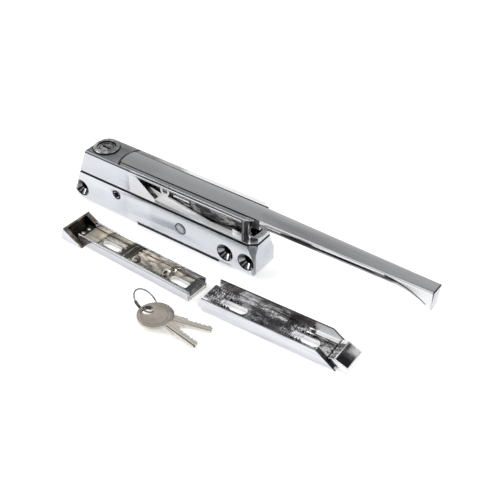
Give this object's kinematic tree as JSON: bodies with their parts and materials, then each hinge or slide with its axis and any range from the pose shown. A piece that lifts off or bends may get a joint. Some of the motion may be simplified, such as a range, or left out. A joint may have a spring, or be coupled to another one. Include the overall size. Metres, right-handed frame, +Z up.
{
  "type": "magnetic door latch",
  "caption": "Long chromed door latch with a hooked pull lever, a keyed lock on its top and magnets in its foot, laid out with its mounting strikes and keys.",
  "frame": {"origin": "on the table under the middle of the kit as it is laid out", "axes": "+X along the latch from its lock to the lever's hooked tip, +Y from its front face to the face that is screwed to the door, +Z up from the table, out of the magnet face and through the lock"},
  "size_m": [0.2454, 0.0902, 0.0408],
  "materials": {
    "polished_chrome": "polished plating",
    "satin_chrome": "brushed satin plating",
    "plate_chrome": "plating over a cast surface",
    "black_rubber": "matt",
    "black_plastic": "moulded",
    "plain_steel": "zinc plated",
    "spring_steel": "drawn wire",
    "ferrite": "sintered and ground",
    "plain_brass": "turned",
    "lock_nickel": "nickel plated",
    "raw_casting": "raw zinc casting",
    "key_nickel": "nickel plated, worn satin"
  },
  "bodies": {
    "latch": {"base_body": "polished_chrome", "split_gasket": "black_rubber", "upper_housing": "polished_chrome", "top_plate": "satin_chrome", "pivot_pin": "plain_steel", "stop_pin": "plain_steel", "magnet_rivet": "plain_steel", "pole_plate_front": "plain_steel", "pole_plate_back": "plain_steel", "magnet_carrier": "black_plastic", "magnets": "ferrite", "plunger_spring": "spring_steel", "case_screws": "plain_steel", "lock_bezel": "polished_chrome", "lock_barrel": "lock_nickel", "lock_clip": "spring_steel"},
    "handle": {"handle": "satin_chrome"},
    "plunger": {"release_plunger": "plain_brass"},
    "lock": {"lock_plug": "lock_nickel", "lock_cam": "plain_steel", "cam_screw": "plain_steel"},
    "strike_a": {"strike_a_channel": "polished_chrome", "strike_a_floor": "raw_casting", "strike_a_eyelets": "plain_steel", "strike_a_stop": "raw_casting", "strike_a_hood": "polished_chrome"},
    "strike_b": {"strike_b_channel": "polished_chrome", "strike_b_plate": "plate_chrome", "strike_b_nose": "polished_chrome", "strike_b_pad": "black_rubber"},
    "ring": {"key_ring": "spring_steel", "ring_sleeve": "plain_steel"},
    "upper_key": {"key_upper": "key_nickel"},
    "lower_key": {"key_lower": "key_nickel"}
  },
  "joints": [
    {"name": "handle_pull", "type": "hinge", "parent": "latch", "child": "handle", "pos_m": [-0.0513, 0.0351, 0.0322], "axis": [0, -1, 0], "range_deg": [0, 9]},
    {"name": "plunger_push", "type": "slide", "parent": "latch", "child": "plunger", "axis": [0, 0, -1], "range_m": [0, 0.0051], "stiffness_N_per_m": 250, "springref_m": -0.002, "deforming": ["plunger_spring"]},
    {"name": "lock_turn", "type": "hinge", "parent": "latch", "child": "lock", "pos_m": [-0.1021, 0.0351, 0.032], "axis": [0, 0, 1], "range_deg": [-90, 0]},
    {"name": "strike_a_lift", "type": "slide", "parent": "latch", "child": "strike_a", "axis": [0, 0, 1], "range_m": [0, 0.04]},
    {"name": "strike_b_lift", "type": "slide", "parent": "latch", "child": "strike_b", "axis": [0, 0, 1], "range_m": [0, 0.04]},
    {"name": "ring_lift", "type": "slide", "parent": "latch", "child": "ring", "axis": [0, 0, 1], "range_m": [0, 0.04]},
    {"name": "upper_key_swivel", "type": "hinge", "parent": "ring", "child": "upper_key", "pos_m": [-0.01322, -0.03477, 0.00347], "axis": [0.0516, 0.0048, 0.9987], "range_deg": [-60, 30]},
    {"name": "lower_key_swivel", "type": "hinge", "parent": "ring", "child": "lower_key", "pos_m": [-0.01322, -0.03477, 0.00347], "axis": [0.0516, 0.0048, 0.9987], "range_deg": [-40, 10]}
  ],
  "couplings": [
    {"joint": "plunger_push", "follows": "handle_pull", "m_per_rad": 0.032}
  ]
}
